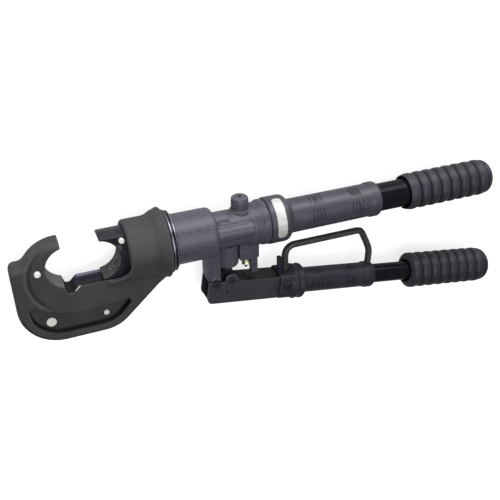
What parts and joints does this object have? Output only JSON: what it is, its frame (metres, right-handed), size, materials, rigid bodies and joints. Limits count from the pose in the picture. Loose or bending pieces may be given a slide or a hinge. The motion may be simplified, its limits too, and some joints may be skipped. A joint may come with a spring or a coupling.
{
  "type": "hydraulic cable crimper",
  "caption": "Hand-pumped hydraulic crimping tool: swivelling C-shaped head with round die seats, black cylinder and pump body, two ribbed grips and a wire bail on the pump lever.",
  "frame": {"origin": "centre of the fixed jaw's round die seat, midway through the jaw's thickness", "axes": "+X along the ram's axis towards the grips, +Y in the tool's plane towards the filler plug, +Z out of the near side, so the tool lies on its flat side"},
  "size_m": [0.6135, 0.1985, 0.0792],
  "materials": {
    "guard": "matte",
    "plated": "satin",
    "ram_steel": "satin",
    "spring_steel": "satin",
    "body_paint": "matte",
    "brass": "satin",
    "seal": "matte",
    "sleeve_plastic": "matte",
    "foil": "satin",
    "gloss_tube": "gloss",
    "grip_rubber": "matte"
  },
  "bodies": {
    "body": {"ram_cylinder": "body_paint", "pump_body": "body_paint", "filler_plug": "body_paint", "plunger_seal": "seal", "reservoir_collar": "sleeve_plastic", "collar_nut": "plated", "label_strip": "foil", "upper_sleeve": "sleeve_plastic", "reservoir_tube": "gloss_tube", "oil_bladder": "seal", "bladder_clamp": "plated", "tube_end_cap": "gloss_tube", "upper_grip": "grip_rubber", "ram_return_spring": "spring_steel"},
    "head": {"head_yoke": "guard", "swivel_ring": "plated", "large_plug": "plated", "small_plug": "plated", "fixed_button_spring": "spring_steel"},
    "fixed_button": {"fixed_die_button": "plated"},
    "ram": {"ram": "ram_steel", "piston_seal": "seal", "wear_band": "brass", "ram_button_spring": "spring_steel"},
    "ram_button": {"ram_die_button": "plated"},
    "lever": {"lever_channel": "body_paint", "pivot_pin": "ram_steel", "link_pin": "plated", "roll_pin": "ram_steel", "striker_screw": "plated", "lever_collar": "sleeve_plastic", "collar_screws": "ram_steel", "lower_sleeve": "sleeve_plastic", "lower_tube": "gloss_tube", "tube_plug": "gloss_tube", "lower_grip": "grip_rubber", "guard_bail": "body_paint"},
    "plunger": {"pump_plunger": "ram_steel"},
    "valve": {"release_valve": "brass", "valve_spring": "spring_steel", "valve_tip": "seal"}
  },
  "joints": [
    {"name": "head_swivel", "type": "hinge", "parent": "body", "child": "head", "pos_m": [0.1, 0, 0], "axis": [1, 0, 0], "range_deg": [-175, 175]},
    {"name": "ram_slide", "type": "slide", "parent": "head", "child": "ram", "axis": [-1, 0, 0], "range_m": [0, 0.039]},
    {"name": "fixed_button_push", "type": "slide", "parent": "head", "child": "fixed_button", "axis": [0, 0, -1], "range_m": [0, 0.0025], "stiffness_N_per_m": 300, "springref_m": -0.003, "deforming": ["fixed_button_spring"]},
    {"name": "ram_button_push", "type": "slide", "parent": "ram", "child": "ram_button", "axis": [0, 0, -1], "range_m": [0, 0.0025], "stiffness_N_per_m": 300, "springref_m": -0.003, "deforming": ["ram_button_spring"]},
    {"name": "pump_handle", "type": "hinge", "parent": "body", "child": "lever", "pos_m": [0.1622, -0.064, 0], "axis": [0, 0, 1], "range_deg": [-45, 4.3]},
    {"name": "pump_stroke", "type": "slide", "parent": "body", "child": "plunger", "axis": [0, 1, 0], "range_m": [-0.014, 0.0016]},
    {"name": "valve_push", "type": "slide", "parent": "body", "child": "valve", "axis": [0, 1, 0], "range_m": [0, 0.0025], "stiffness_N_per_m": 800, "springref_m": -0.003}
  ],
  "couplings": [
    {"joint": "pump_stroke", "follows": "pump_handle", "m_per_rad": 0.0173}
  ]
}
